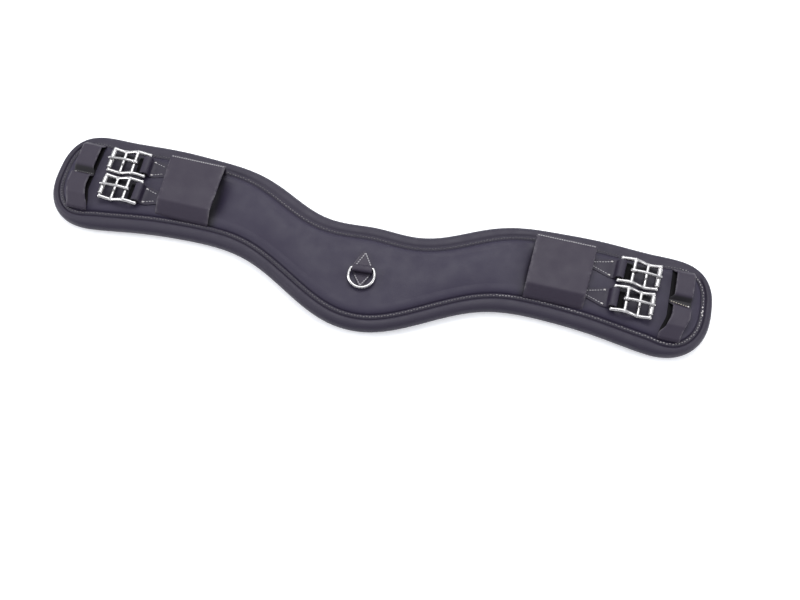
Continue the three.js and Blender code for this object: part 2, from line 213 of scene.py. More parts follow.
def paint(obj, name, values):
    """Stores a number at each point, for the materials to read."""
    layer = obj.data.attributes.new(name, "FLOAT", "POINT")
    layer.data.foreach_set("value", np.asarray(values, np.float32))


def mesh_object(name, points, faces, material, wear_and_sheen=None):
    """A mesh object from points in millimetres, with an optional value at each point for worn edges and
    their painted sheen.
    """
    data = bpy.data.meshes.new(name)
    data.from_pydata((np.asarray(points) * MM).tolist(), [], [tuple(map(int, f)) for f in faces])
    shade_smooth(data)
    data.materials.append(material)
    data.update()
    obj = bpy.data.objects.new(name, data)
    if wear_and_sheen is not None:
        paint(obj, "wear_and_sheen", wear_and_sheen)
    bpy.context.scene.collection.objects.link(obj)
    return obj


def ring_faces(rings, count, closed=False):
    """Quads between rings of points, each ring closed on itself."""
    j = np.arange(count)
    k = (j + 1) % count
    faces = []
    for r in range(rings if closed else rings - 1):
        a = r * count
        b = ((r + 1) % rings) * count
        faces.append(np.stack([a + j, a + k, b + k, b + j], 1))
    return np.concatenate(faces)


def capped_faces(rings, count):
    """Quads between rings of points, with the first and the last ring filled."""
    last = (rings - 1) * count
    ends = [list(range(count))[::-1], [last + j for j in range(count)]]
    return ring_faces(rings, count).tolist() + ends


def points_of(obj):
    return np.array([v.co for v in obj.data.vertices])


def set_down(points, origin, angle):
    """Points turned in the girth's plane and moved so that their origin is at a place on it."""
    points = np.asarray(points, float)
    c, s = math.cos(angle), math.sin(angle)
    x = origin[0] + points[:, 0] * c - points[:, 1] * s
    y = origin[1] + points[:, 0] * s + points[:, 1] * c
    return np.column_stack([x, y, points[:, 2]])


def tidy(obj, distance=0.02):
    """Merges doubled points, drops flat faces and turns every face outwards."""
    work = bmesh.new()
    work.from_mesh(obj.data)
    bmesh.ops.remove_doubles(work, verts=work.verts, dist=distance * MM)
    bmesh.ops.dissolve_degenerate(work, edges=work.edges, dist=distance * MM / 4)
    bmesh.ops.recalc_face_normals(work, faces=work.faces)
    work.to_mesh(obj.data)
    work.free()
    shade_smooth(obj.data)
    return obj


def apply_modifiers(obj):
    graph = bpy.context.evaluated_depsgraph_get()
    made = bpy.data.meshes.new_from_object(obj.evaluated_get(graph))
    obj.modifiers.clear()
    obj.data = made
    shade_smooth(made)
    return obj


def subdivide(obj):
    obj.modifiers.new("smooth", "SUBSURF").levels = 1
    apply_modifiers(obj)


def finish_piece(obj, body, replaced=()):
    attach(obj, body)
    if replaced:
        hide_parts(*replaced)
    return obj


def fillet(corners, step=0.8):
    """A path through corners (a, b, radius) in one plane, each rounded to its radius."""
    points = [np.array(c[:2], float) for c in corners]
    path = [points[0]]
    for before, corner, after, (_, _, radius) in zip(points, points[1:], points[2:], corners[1:-1]):
        u = (before - corner) / np.linalg.norm(before - corner)
        v = (after - corner) / np.linalg.norm(after - corner)
        half = math.acos(float(np.clip(u @ v, -1, 1))) / 2
        reach = radius / math.tan(half)
        start = corner + u * reach
        end = corner + v * reach
        steps = max(3, int(radius * (math.pi - 2 * half) / step))
        for i in range(steps + 1):
            t = i / steps
            path.append((1 - t) ** 2 * start + 2 * t * (1 - t) * corner + t * t * end)
    path.append(points[-1])
    return resample(np.array(path), step)


def resample(path, step):
    length = np.concatenate([[0], np.cumsum(np.linalg.norm(np.diff(path, axis=0), axis=1))])
    count = max(2, int(round(length[-1] / step)))
    at = np.linspace(0, length[-1], count + 1)
    return np.stack([np.interp(at, length, path[:, i]) for i in range(path.shape[1])], 1)


def smoothed(path, passes):
    for _ in range(passes):
        path[1:-1] = (path[:-2] + 2 * path[1:-1] + path[2:]) / 4
    return path


def boxy(angle, squareness):
    """The sine and cosine of a point on a rounded square; 1 gives a circle."""
    return [math.copysign(abs(v) ** squareness, v) for v in (math.sin(angle), math.cos(angle))]


def strap_section(cuts, corner_steps):
    """Unit rounded rectangle: for each point, its side (-1 to 1), face (-1, 1) and corner angle."""
    top = [(b, 1, 0.0) for b in np.linspace(-1, 1, cuts + 1)]
    turns = np.linspace(0, math.pi, corner_steps + 2)[1:-1]
    right = [(1, math.cos(a), math.sin(a)) for a in turns]
    bottom = [(b, -1, 0.0) for b in np.linspace(1, -1, cuts + 1)]
    left = [(-1, -math.cos(a), math.sin(a)) for a in turns]
    return np.array(top + right + bottom + left)


def ribbon(name, path, across, half_widths, thickness, material, cuts=10, ripple=0.0):
    """A leather strap along a path, with rounded edges. across points along its width."""
    path = np.asarray(path, float)
    count = len(path)
    across = np.broadcast_to(np.asarray(across, float), path.shape)
    widths = np.broadcast_to(np.asarray(half_widths, float), (count,))
    thick = np.broadcast_to(np.asarray(thickness, float), (count,))
    tangent = np.gradient(path, axis=0)
    tangent /= np.linalg.norm(tangent, axis=1, keepdims=True)
    normal = np.cross(across, tangent)
    normal /= np.linalg.norm(normal, axis=1, keepdims=True)
    section = strap_section(cuts, 3)
    rings = []
    wear_and_sheen = []
    ends = [(0, -0.3, 0.55), (0, -0.12, 0.85)]
    stations = ends + [(i, 0.0, 1.0) for i in range(count)]
    stations += [(count - 1, 0.12, 0.85), (count - 1, 0.3, 0.55)]
    for i, forward, share in stations:
        t = thick[i]
        w = widths[i] - t / 2 - (1 - share) * t / 2
        b = section[:, 0] * w + np.sign(section[:, 0]) * section[:, 2] * t / 2 * share
        h = section[:, 1] * t / 2 * share
        h = h + ripple * np.sin(i * 0.23 + 1.3) * section[:, 0] ** 2
        ring = path[i] + tangent[i] * forward * t + np.outer(b, across[i]) + np.outer(h, normal[i])
        rings.append(ring)
        wear_and_sheen.append(np.clip((np.abs(section[:, 0]) - 0.9) * 4 + section[:, 2], 0, 1))
    faces = capped_faces(len(rings), len(section))
    obj = mesh_object(name, np.concatenate(rings), faces, material, np.concatenate(wear_and_sheen))
    return tidy(obj)


def tube(path, radii, sides=16):
    """Points and faces of a round wire along a path, closed at both ends by small domes."""
    path = np.asarray(path, float)
    radii = np.broadcast_to(np.asarray(radii, float), (len(path),))
    tangent = np.gradient(path, axis=0)
    tangent /= np.linalg.norm(tangent, axis=1, keepdims=True)
    side = np.cross(tangent[0], [0.31, 0.27, 0.91])
    angles = np.linspace(0, 2 * math.pi, sides, endpoint=False)
    stations = [(0, -0.85, 0.5), (0, -0.5, 0.86)]
    stations += [(i, 0.0, 1.0) for i in range(len(path))]
    stations += [(len(path) - 1, 0.5, 0.86), (len(path) - 1, 0.85, 0.5)]
    rings = []
    for i, forward, share in stations:
        side = side - tangent[i] * (side @ tangent[i])
        side /= np.linalg.norm(side)
        other = np.cross(tangent[i], side)
        r = radii[i]
        circle = np.outer(np.cos(angles), side) + np.outer(np.sin(angles), other)
        rings.append(path[i] + tangent[i] * forward * r + circle * r * share)
    return np.concatenate(rings), capped_faces(len(rings), sides)


def lathe_y(profile, centre, segments=48):
    """A closed profile (radius, y) turned about a line along Y through centre."""
    profile = np.asarray(profile, float)
    angles = np.linspace(0, 2 * math.pi, segments, endpoint=False)
    rings = []
    for angle in angles:
        x = centre[0] + profile[:, 0] * math.cos(angle)
        z = centre[2] + profile[:, 0] * math.sin(angle)
        rings.append(np.stack([x, centre[1] + profile[:, 1], z], 1))
    return np.concatenate(rings), ring_faces(segments, len(profile), closed=True).tolist()


def cast(name, parts, voxel, material, smooth=6):
    """Melts overlapping solids into one skin with small fillets where they meet."""
    points = []
    faces = []
    start = 0
    for part_points, part_faces in parts:
        points.append(part_points)
        faces += [[start + i for i in face] for face in part_faces]
        start += len(part_points)
    obj = tidy(mesh_object(name, np.concatenate(points), faces, material), 0.001)
    remesh = obj.modifiers.new("melt", "REMESH")
    remesh.mode = "VOXEL"
    remesh.voxel_size = voxel * MM
    soften = obj.modifiers.new("soften", "SMOOTH")
    soften.factor = 0.5
    soften.iterations = smooth
    return apply_modifiers(obj)


def stitch_template():
    """One stitch: a short arched length of thread. Local axes: along, side, up; unit size."""
    sides = 6
    stations = np.linspace(-1, 1, 7)[1:-1]
    points = [[-1, 0, -0.9]]
    for u in stations:
        r = (1 - u**4) ** 0.5
        for angle in np.linspace(0, 2 * math.pi, sides, endpoint=False):
            points.append([u, r * math.cos(angle), r * math.sin(angle) - 0.9 * u * u])
    points.append([1, 0, -0.9])
    faces = [[0, 1 + (j + 1) % sides, 1 + j] for j in range(sides)]
    faces += (ring_faces(len(stations), sides) + 1).tolist()
    last = len(points) - 1
    a = last - sides
    faces += [[a + j, a + (j + 1) % sides, last] for j in range(sides)]
    return np.array(points), faces


def sew(name, centres, alongs, length, radius, material):
    """A row of stitches on the girth, one at each centre, with their backs upwards."""
    template, template_faces = stitch_template()
    alongs = alongs / np.linalg.norm(alongs, axis=1, keepdims=True)
    ups = np.tile([0.0, 0.0, 1.0], (len(centres), 1))
    ups = ups - alongs * np.sum(ups * alongs, axis=1, keepdims=True)
    ups /= np.linalg.norm(ups, axis=1, keepdims=True)
    sides = np.cross(ups, alongs)
    local = template * [length / 2, radius, radius]
    points = (
        centres[:, None]
        + local[None, :, :1] * alongs[:, None]
        + local[None, :, 1:2] * sides[:, None]
        + local[None, :, 2:] * ups[:, None]
    )
    size = len(template)
    faces = [[n * size + i for i in f] for n in range(len(centres)) for f in template_faces]
    obj = mesh_object(name, points.reshape(-1, 3), faces, material)
    return finish_piece(obj, "girth")


def stitched_lines(lines, pitch):
    """Centres and directions of stitches along straight lines (start, end)."""
    centres = []
    alongs = []
    for start, end in lines:
        start = np.array(start, float)
        end = np.array(end, float)
        run = np.linalg.norm(end - start)
        count = max(1, int(round(run / pitch)))
        for i in range(count):
            centres.append(start + (end - start) * (i + 0.5) / count)
            alongs.append(end - start)
    return np.array(centres), np.array(alongs)


# ---- Materials -------------------------------------------------------------------------
class Nodes:
    """Small wrapper for building a material's node tree."""

    def __init__(self, name):
        self.material = bpy.data.materials.new(name)
        self.material.use_nodes = True
        self.tree = self.material.node_tree
        self.shader = self.tree.nodes["Principled BSDF"]
        self.place = self.add("ShaderNodeTexCoord").outputs["Object"]

    def add(self, kind, **settings):
        node = self.tree.nodes.new(kind)
        for key, value in settings.items():
            setattr(node, key, value)
        return node

    def link(self, source, target):
        self.tree.links.new(source, target)

    def noise(self, scale, detail=3.0, roughness=0.5):
        node = self.add("ShaderNodeTexNoise")
        node.inputs["Scale"].default_value = scale
        node.inputs["Detail"].default_value = detail
        node.inputs["Roughness"].default_value = roughness
        self.link(self.place, node.inputs["Vector"])
        return node.outputs["Fac"]

    def cells(self, scale):
        node = self.add("ShaderNodeTexVoronoi")
        node.inputs["Scale"].default_value = scale
        self.link(self.place, node.inputs["Vector"])
        return node.outputs["Distance"]

    def spread(self, value, low, high, to_low=0.0, to_high=1.0):
        node = self.add("ShaderNodeMapRange")
        self.link(value, node.inputs["Value"])
        limits = {"From Min": low, "From Max": high, "To Min": to_low, "To Max": to_high}
        for key, number in limits.items():
            node.inputs[key].default_value = number
        return node.outputs["Result"]

    def math(self, operation, a, b):
        node = self.add("ShaderNodeMath", operation=operation)
        for socket, value in zip(node.inputs, (a, b)):
            if isinstance(value, (int, float)):
                socket.default_value = value
            else:
                self.link(value, socket)
        return node.outputs[0]

    def mix(self, factor, a, b):
        node = self.add("ShaderNodeMix", data_type="RGBA")
        self.link(factor, node.inputs["Factor"])
        for key, value in ((6, a), (7, b)):
            if isinstance(value, tuple):
                node.inputs[key].default_value = (*value, 1)
            else:
                self.link(value, node.inputs[key])
        return node.outputs[2]

    def bump(self, height, strength, distance):
        node = self.add("ShaderNodeBump")
        node.inputs["Strength"].default_value = strength
        node.inputs["Distance"].default_value = distance
        self.link(height, node.inputs["Height"])
        if self.shader.inputs["Normal"].links:
            self.link(self.shader.inputs["Normal"].links[0].from_socket, node.inputs["Normal"])
        self.link(node.outputs["Normal"], self.shader.inputs["Normal"])


def leather(name, dark, light, worn_and_sheen, roughness=(0.5, 0.62), shine=0.4, grain=900.0, depth=0.00012):
    """Grained leather: pebbled surface, slow colour drift, paler, smoother worn edges with painted sheen.
    """
    n = Nodes(name)
    drift = n.spread(n.noise(14.0, 4.0), 0.2, 0.8)
    base = n.mix(drift, dark, light)
    fine = n.spread(n.noise(grain * 0.8, 2.0), 0.3, 0.7)
    shade = n.mix(n.math("MULTIPLY", fine, 0.35), base, light)
    # Worn edges: real wear, and on the pale-edged strap leather also a painted highlight.
    attribute = n.add("ShaderNodeAttribute", attribute_name="wear_and_sheen")
    rub_and_sheen = n.math("MULTIPLY", attribute.outputs["Fac"], n.spread(n.noise(160.0, 4.0), 0.4, 0.7))
    rubbed_and_sheen = n.mix(n.math("MULTIPLY", rub_and_sheen, 0.9), shade, worn_and_sheen)
    # Painted shade: darkens the colour towards a fifth of the dark dye where a piece stores it.
    painted_shade = n.add("ShaderNodeAttribute", attribute_name="painted_shade")
    shaded_colour = n.mix(painted_shade.outputs["Fac"], rubbed_and_sheen, tuple(0.2 * value for value in dark))
    n.link(shaded_colour, n.shader.inputs["Base Color"])
    rough = n.spread(n.noise(60.0, 4.0), 0.3, 0.7, *roughness)
    n.link(rough, n.shader.inputs["Roughness"])
    pebbles = n.spread(n.cells(grain), 0.0, 0.75)
    creases = n.spread(n.noise(grain * 2.2, 3.0), 0.2, 0.8)
    n.bump(n.math("ADD", pebbles, n.math("MULTIPLY", creases, 0.4)), 0.35, depth)
    n.bump(n.noise(90.0, 3.0), 0.2, 0.0003)
    n.shader.inputs["Specular IOR Level"].default_value = shine
    return n.material


def steel(name):
    n = Nodes(name)
    smear = n.noise(220.0, 5.0, 0.6)
    tint = n.mix(n.spread(smear, 0.3, 0.7), (0.44, 0.43, 0.43), (0.56, 0.55, 0.555))
    n.link(tint, n.shader.inputs["Base Color"])
    n.link(n.spread(n.noise(700.0, 4.0), 0.3, 0.7, 0.2, 0.32), n.shader.inputs["Roughness"])
    n.shader.inputs["Metallic"].default_value = 1.0
    n.bump(n.noise(500.0, 3.0), 0.12, 0.0002)
    return n.material


def thread(name, dark, light, scale=1500.0):
    n = Nodes(name)
    fibres = n.spread(n.noise(scale, 4.0, 0.65), 0.38, 0.66)
    n.link(n.mix(fibres, dark, light), n.shader.inputs["Base Color"])
    n.shader.inputs["Roughness"].default_value = 0.65
    n.bump(n.noise(2600.0, 2.0), 0.5, 0.0002)
    return n.material


# Each leather: dark and light dye, and the colour of worn edges (on the strap, also a painted highlight).
COVER = leather("cover_leather", (0.0168, 0.0120, 0.0310), (0.0186, 0.0136, 0.0338), (0.05, 0.043, 0.06))
LINING = leather("lining_leather", (0.0168, 0.0125, 0.0270), (0.0205, 0.0158, 0.0315), (0.04, 0.035, 0.05))
RIM = leather("rim_leather", (0.0165, 0.0125, 0.0265), (0.0210, 0.0165, 0.0315), (0.05, 0.045, 0.055))
STRAP = leather("strap_leather", (0.0200, 0.0140, 0.0290), (0.0245, 0.0178, 0.0335), (0.13, 0.12, 0.135))
CHAPE = leather("chape_leather", (0.0172, 0.0125, 0.0270), (0.0195, 0.0145, 0.0305), (0.035, 0.03, 0.037))
# Near-black leather for sheets laid where there is only shade: painted shade.
SHADE_SHEET_LEATHER = leather(
    "shade_sheet_leather", (0.0022, 0.002, 0.0026), (0.003, 0.0027, 0.0035), (0.004, 0.0036, 0.0044), shine=0.08
)
STEEL = steel("polished_steel")
CREAM_THREAD = thread("cream_thread", (0.42, 0.37, 0.31), (0.66, 0.60, 0.52))
PALE_THREAD = thread("pale_thread", (0.30, 0.29, 0.31), (0.52, 0.50, 0.52))
DARK_THREAD = thread("dark_thread", (0.045, 0.042, 0.05), (0.17, 0.16, 0.17), 9.0)
GREY_THREAD = thread("grey_thread", (0.10, 0.095, 0.105), (0.42, 0.40, 0.41), 25.0)
LIGHT_THREAD = thread("light_thread", (0.60, 0.57, 0.56), (0.78, 0.75, 0.74))


# ---- Camera, floor and light -----------------------------------------------------------
VIEW_AZIMUTH = math.radians(13.43)
VIEW_ELEVATION = math.radians(66.0)
VIEW_ROLL = math.radians(0.41)
VIEW_DISTANCE = 1088.6
VIEW_TARGET = (47.24, -34.78, 0.0)
VIEW_LENS = 42.93
FLOOR_REACH = 40.0
SKY_DIRECTION = (0.0, 0.30, 0.95)
SKY = [
    (0.0, (0.30, 0.30, 0.32, 1)),
    (0.36, (0.50, 0.51, 0.54, 1)),
    (0.62, (0.86, 0.88, 0.92, 1)),
    (0.95, (0.96, 0.98, 1.0, 1)),
]


def add_camera():
    a, e = VIEW_AZIMUTH, VIEW_ELEVATION
    back = Vector((math.sin(a) * math.cos(e), -math.cos(a) * math.cos(e), math.sin(e)))
    right = Vector((0, 0, 1)).cross(back).normalized()
    turn = Matrix((right, back.cross(right), back)).transposed() @ Matrix.Rotation(VIEW_ROLL, 3, "Z")
    camera = bpy.data.objects.new("camera", bpy.data.cameras.new("camera"))
    camera.data.sensor_width = 36.0
    camera.data.lens = VIEW_LENS
    camera.data.clip_start = 0.01
    place = (Vector(VIEW_TARGET) + back * VIEW_DISTANCE) * MM
    camera.matrix_world = Matrix.Translation(place) @ turn.to_4x4()
    bpy.context.scene.collection.objects.link(camera)
    bpy.context.scene.camera = camera


def add_area_light(name, place, target, size, power, size_y=None):
    data = bpy.data.lights.new(name, "AREA")
    data.shape = "RECTANGLE"
    data.size = size
    data.size_y = size_y or size
    data.energy = power
    light = bpy.data.objects.new(name, data)
    turn = (Vector(target) - Vector(place)).to_track_quat("-Z", "Y").to_matrix().to_4x4()
    light.matrix_world = Matrix.Translation(place) @ turn
    bpy.context.scene.collection.objects.link(light)


def add_studio():
    scene = bpy.context.scene
    scene.view_settings.view_transform = "Standard"
    world = bpy.data.worlds.new("studio")
    world.use_nodes = True
    tree = world.node_tree
    background = tree.nodes["Background"]
    place = tree.nodes.new("ShaderNodeTexCoord")
    facing = tree.nodes.new("ShaderNodeVectorMath")
    facing.operation = "DOT_PRODUCT"
    facing.inputs[1].default_value = SKY_DIRECTION
    ramp = tree.nodes.new("ShaderNodeValToRGB")
    tree.links.new(place.outputs["Generated"], facing.inputs[0])
    tree.links.new(facing.outputs["Value"], ramp.inputs["Fac"])
    tree.links.new(ramp.outputs["Color"], background.inputs["Color"])
    stops = ramp.color_ramp.elements
    stops[0].position, stops[0].color = SKY[0]
    stops[1].position, stops[1].color = SKY[-1]
    for position, colour in SKY[1:-1]:
        stops.new(position).color = colour
    background.inputs["Strength"].default_value = 1.05
    scene.world = world
    add_area_light("overhead_softbox", (-0.1, 1.15, 1.9), (0, 0, 0), 1.7, 25.0, 1.1)
    add_area_light("side_softbox", (-2.05, -0.45, 0.95), (-0.1, 0, 0), 1.0, 23.0)
    add_area_light("right_softbox", (1.75, -0.1, 0.85), (0.35, 0, 0), 0.8, 9.0)
    floor_data = bpy.data.meshes.new("floor")
    signs = ((-1, -1), (1, -1), (1, 1), (-1, 1))
    corners = [(a * FLOOR_REACH, b * FLOOR_REACH, 0) for a, b in signs]
    floor_data.from_pydata(corners, [], [(0, 1, 2, 3)])
    floor = bpy.data.objects.new("floor", floor_data)
    n = Nodes("floor")
    n.shader.inputs["Base Color"].default_value = (0.93, 0.935, 0.945, 1)
    n.shader.inputs["Roughness"].default_value = 0.9
    n.shader.inputs["Specular IOR Level"].default_value = 0.1
    n.shader.inputs["Emission Color"].default_value = (0.96, 0.97, 1.0, 1)
    n.shader.inputs["Emission Strength"].default_value = 0.3
    floor_data.materials.append(n.material)
    scene.collection.objects.link(floor)


# ---- The padded body -------------------------------------------------------------------
def nested_rings(profile, core, count):
    """Rings by inset from the outline, then rings that shrink to the middle line."""
    s = np.arange(count) / count
    rings = []
    for offset, z in profile:
        p = inset(s, offset)
        rings.append(np.column_stack([p, z(s) if callable(z) else np.full(count, z)]))
    base = inset(s, profile[-1][0])
    middle = medial(s)
    for share, height in core:
        p = base + (middle - base) * share
        z = height(p[:, 0], share) if callable(height) else np.full(count, height)
        rings.append(np.column_stack([p, z]))
    return rings


def closed_rings(name, rings, material):
    faces = ring_faces(len(rings), len(rings[0])).tolist()
    return tidy(mesh_object(name, np.concatenate(rings), faces, material), 0.05)


def roll_profile(shrink, degrees):
    """The rolled edge of the lining in section, from the bottom up, drawn in by a little."""
    half = PAD_HEIGHT / 2
    points = []
    for angle in np.radians(degrees):
        across = PAD_RADIUS - (PAD_RADIUS - shrink) * math.cos(angle)
        points.append((across, half + (half - shrink) * math.sin(angle)))
    return points


SWELL_FRAMES = 20
SWELL_CAP = 2.2


def swell(obj, free, cap):
    """Blows the free points of a closed cloth out by air pressure, by no more than cap (mm)."""
    rest = points_of(obj)
    group = obj.vertex_groups.new(name="held")
    held = [int(i) for i in np.nonzero(~free)[0]]
    group.add(held, 1.0, "REPLACE")
    cloth = obj.modifiers.new("cloth", "CLOTH")
    settings = cloth.settings
    settings.quality = 6
    settings.mass = 0.3
    settings.tension_stiffness = 25
    settings.compression_stiffness = 25
    settings.bending_stiffness = 4
    settings.use_pressure = True
    settings.uniform_pressure_force = 4.0
    settings.vertex_group_mass = "held"
    settings.effector_weights.gravity = 0.0
    cloth.collision_settings.use_collision = False
    scene = bpy.context.scene
    cloth.point_cache.frame_start = 1
    cloth.point_cache.frame_end = SWELL_FRAMES
    for number in range(1, SWELL_FRAMES + 1):
        scene.frame_set(number)
    apply_modifiers(obj)
    scene.frame_set(1)
    moved = points_of(obj)
    shift = moved - rest
    length = np.linalg.norm(shift, axis=1, keepdims=True)
    shift *= np.minimum(1, cap * MM / np.maximum(length, 1e-12))
    final = rest + shift
    final[:, 2] = np.maximum(final[:, 2], 0)
    obj.data.vertices.foreach_set("co", final.astype(np.float32).ravel())
    obj.data.update()


def lining():
    """The soft lining: flat under the girth, rolled up over the foam and turned in to the rim."""
    count = 560
    degrees = np.linspace(90, -90, 15)
    lip = [(14.6, 12.6), (14.2, 13.9), (13.6, 15.0), (12.7, 15.9), (11.6, 16.4), (10.2, 16.55)]
    lip = [(offset, filled(z)) for offset, z in lip]
    profile = lip + roll_profile(0.7, degrees)
    under = [(12.0, 0.0), (15.0, 0.0), (18.0, 0.0)]
    core = [(share, 0.0) for share in (0.15, 0.35, 0.6, 0.8, 1.0)]
    outer = nested_rings(profile + under, core, count)
    top = nested_rings([(14.6, 12.6)], [(share, 12.4) for share in (0.2, 0.6, 1.0)], count)
    rings = top[::-1][:-1] + outer
    obj = closed_rings("padded_lining", rings, LINING)
    place = points_of(obj) / MM
    rim_s = np.linspace(0, 1, 4001)
    tree = KDTree(len(rim_s))
    for i, p in enumerate(edge(rim_s)):
        tree.insert((*p, 0), i)
    tree.balance()
    depth = np.array([tree.find((*p, 0))[2] for p in place[:, :2]])
    free = (depth < LIP_OFFSET - END_PINCH) & (place[:, 2] > 0.4)
    swell(obj, free, SWELL_CAP)
    subdivide(obj)
    finish_piece(obj, "girth", ["liner", "foam_pad"])


def cover_height(x, share):
    """The cover rises from its seam, swells where nothing is sewn on and dips into the keepers."""
    crown = 19.3 + 0.8 * (1 - (1 - share) ** 2)
    swollen = 1.5 * bump((np.abs(x) - 110) / 42)
    pressed = 4.2 * bump((np.abs(x) - KEEPER_MOUTH_X - 1) / 10)
    open_part = swollen - pressed
    return crown + open_part * (1 - (1 - share) ** 2.5)


def cover_painted_shade(x, y):
    """Painted shade on the cover: inside the keepers, in the slots beside the chapes' folds and under the
    buckles.
    """
    side = np.where(x < 0, -1, 1)
    reach = np.abs(x)
    mouth = np.where(side < 0, 192.5, 187.5) + 0.09 * (y - 40)
    keeper_mouth_shade = smoothstep(reach, mouth - 11.0, mouth + 1.0) * (1 - smoothstep(reach, 228, 236))
    painted_shade = 0.95 * keeper_mouth_shade
    for row in ROWS:
        bar_x, bar_y, turn = row_place("right", row)
        c, s = math.cos(turn), math.sin(turn)
        u = (reach - bar_x) * c + (y - bar_y) * s
        v = (y - bar_y) * c - (reach - bar_x) * s
        inside = smoothstep(v, -16.5, -11.5) * (1 - smoothstep(v, 13.0, 18.0))
        gap = smoothstep(u, -2, 2) * (1 - smoothstep(u, 11, 16))
        windows = smoothstep(u, 8, 14) * (1 - smoothstep(u, 41, 47))
        shade = 0.5 + 0.4 * smoothstep(v, 1.0, 6.0)
        painted_shade = np.maximum(painted_shade, inside * np.maximum(0.95 * gap, shade * windows))
    return painted_shade


def cover():
    """The padded cover: its turned edge stands in the groove inside the rim."""
    count = 1100
    shoulder = [(0.6, 13.4), (0.0, 14.4), (0.1, 15.3), (0.5, 16.2), (1.2, 17.1), (2.2, 17.9)]
    shoulder += [(3.6, 18.55), (5.4, 19.0), (7.6, 19.25), (10.2, 19.35)]
    shoulder = [(COVER_EDGE + across, filled(z)) for across, z in shoulder]
    shares = np.linspace(0.03, 1.0, 30)
    outer = nested_rings(shoulder, [(share, cover_height) for share in shares], count)
    under = nested_rings([(COVER_EDGE + 0.6, 13.4)], [(share, 13.2) for share in (0.3, 1.0)], count)
    rings = under[::-1][:-1] + outer
    obj = closed_rings("padded_cover", rings, COVER)
    place = points_of(obj) / MM
    # Painted shade: the cover's colour is darkened where shade falls by the keepers and the buckles.
    paint(obj, "painted_shade", cover_painted_shade(place[:, 0], place[:, 1]))
    finish_piece(obj, "girth", ["top_cover", "cover_padding"])


def rim():
    """The rolled rim, drawn in a little at each stitch along its crest."""
    s = even_steps(RIM_CREST, STITCH_PITCH / 4)
    pucker = np.cos(np.arange(len(s)) * math.pi / 2)
    rings = []
    wear_and_sheen = []
    for offset, z in RIM_PROFILE:
        crest = float(bump((offset - RIM_CREST) / 1.6))
        rings.append(np.column_stack([inset(s, offset), filled(z)(s) + 0.25 * pucker * crest]))
        wear_and_sheen.append(np.full(len(s), 0.25 * crest))
    faces = ring_faces(len(rings), len(s), closed=True).tolist()
    obj = tidy(mesh_object("rolled_rim", np.concatenate(rings), faces, RIM, np.concatenate(wear_and_sheen)))
    subdivide(obj)
    finish_piece(obj, "girth", ["edge_rim"])


def rim_stitching():
    s = even_steps(RIM_CREST, STITCH_PITCH)
    s = s + (s[1] - s[0]) / 2
    p = inset(s, RIM_CREST)
    ahead = inset(s + 1e-4, RIM_CREST)
    flat = np.zeros(len(s))
    zigzag = np.where(np.arange(len(s)) % 2 == 0, 1, -1)
    wander = 0.3 * zigzag + 0.15 * np.sin(np.arange(len(s)) * 2.4)
    centres = np.column_stack([p + inward(s) * wander[:, None], flat + RIM_TOP_Z])
    alongs = np.column_stack([ahead - p, flat])
    alongs /= np.linalg.norm(alongs, axis=1, keepdims=True)
    alongs[:, :2] += 0.22 * zigzag[:, None] * inward(s)
    tie = (p[:, 0] > 368) & (p[:, 1] > 20) & (p[:, 1] < 33)
    sew("rim_knots", centres[tie], alongs[tie], 2.6, 0.8, LIGHT_THREAD)
    clear = (p[:, 0] > 150) & ((inward(s)[:, 1] > 0) | (p[:, 0] > 350)) & ~tie
    plain = ~clear & ~tie
    sew("rim_stitching_right", centres[clear], alongs[clear], 2.6, 0.6, GREY_THREAD)
    sew("rim_stitching", centres[plain], alongs[plain], 2.6, 0.52, DARK_THREAD)


# ---- Leather fittings ------------------------------------------------------------------
KEEPER_FAR_BULGE = 3.0
KEEPER_NEAR_FOLD = {"left": 10.4, "right": 7.8}
KEEPER_OUTBOARD = {"left": (2.7, 5.4), "right": (-2.6, 0.0)}
KEEPER_INBOARD = {"left": (-2.4, -2.4), "right": (6.6, 5.2)}


def keeper(side, along):
    """The broad sleeve that keeps the billets' ends, sewn down beyond both seams."""
    low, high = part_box(f"keeper_{side}")
    centre = along * (abs(low.x) + abs(high.x)) / 2 / MM
    half = (high.x - low.x) / 2 / MM
    top = high.z / MM - 1.0
    near = seam_y(centre, far=False)
    far = seam_y(centre, far=True)
    corners = [
        (near - 0.6, 16.6, 0),
        (near + 0.9, 19.2, 2.0),
        (KEEPER_NEAR_FOLD[side], top - 0.1, 2.6),
        (38.0, top - 0.6, 60.0),
        (far + KEEPER_FAR_BULGE - 0.2, top - 0.1, 2.2),
        (far - 0.4, 17.0, 0),
    ]
    section = fillet(corners)
    fan = smoothstep(section[:, 0], 10, 60)
    near_out, far_out = KEEPER_OUTBOARD[side]
    near_in, far_in = KEEPER_INBOARD[side]
    outboard = near_out + (far_out - near_out) * fan
    inboard = near_in + (far_in - near_in) * fan
    x = centre + along * (outboard - inboard) / 2
    path = np.column_stack([x, section])
    widths = half + (outboard + inboard) / 2
    obj = ribbon(f"keeper_sleeve_{side}", path, (along, 0, 0), widths, 2.0, STRAP, cuts=24, ripple=0.15)
    finish_piece(obj, "girth", [f"keeper_{side}"])
    y = far + KEEPER_FAR_BULGE - 2.4
    z = top + 1.0
    ends = [(centre - along * (half + far_in - 1.2), y, z), (centre + along * (half + far_out - 1.2), y, z)]
    centres, alongs = stitched_lines([ends], 2.7)
    sew(f"keeper_stitching_{side}", centres, alongs, 2.55, 0.6, PALE_THREAD)


LOOP_HALF_WIDTH = 12.5
LOOP_LEAN = 6.5
LEAN_START = 12.0
LEAN_END = -16.0
LOOP_SEAM_Y = 27.0
LOOP_CREST_END = {"left": 22.5, "right": 19.6}
LOOP_VALLEY = {"left": 1.5, "right": 2.6}
LOOP_SKEW = {"left": 0.0, "right": 0.14}
LOOP_SEAM_SHIFT = {"left": 0.0, "right": -1.4}
LOOP_KNOT_SHIFT = {"left": -1.6, "right": 0.0}


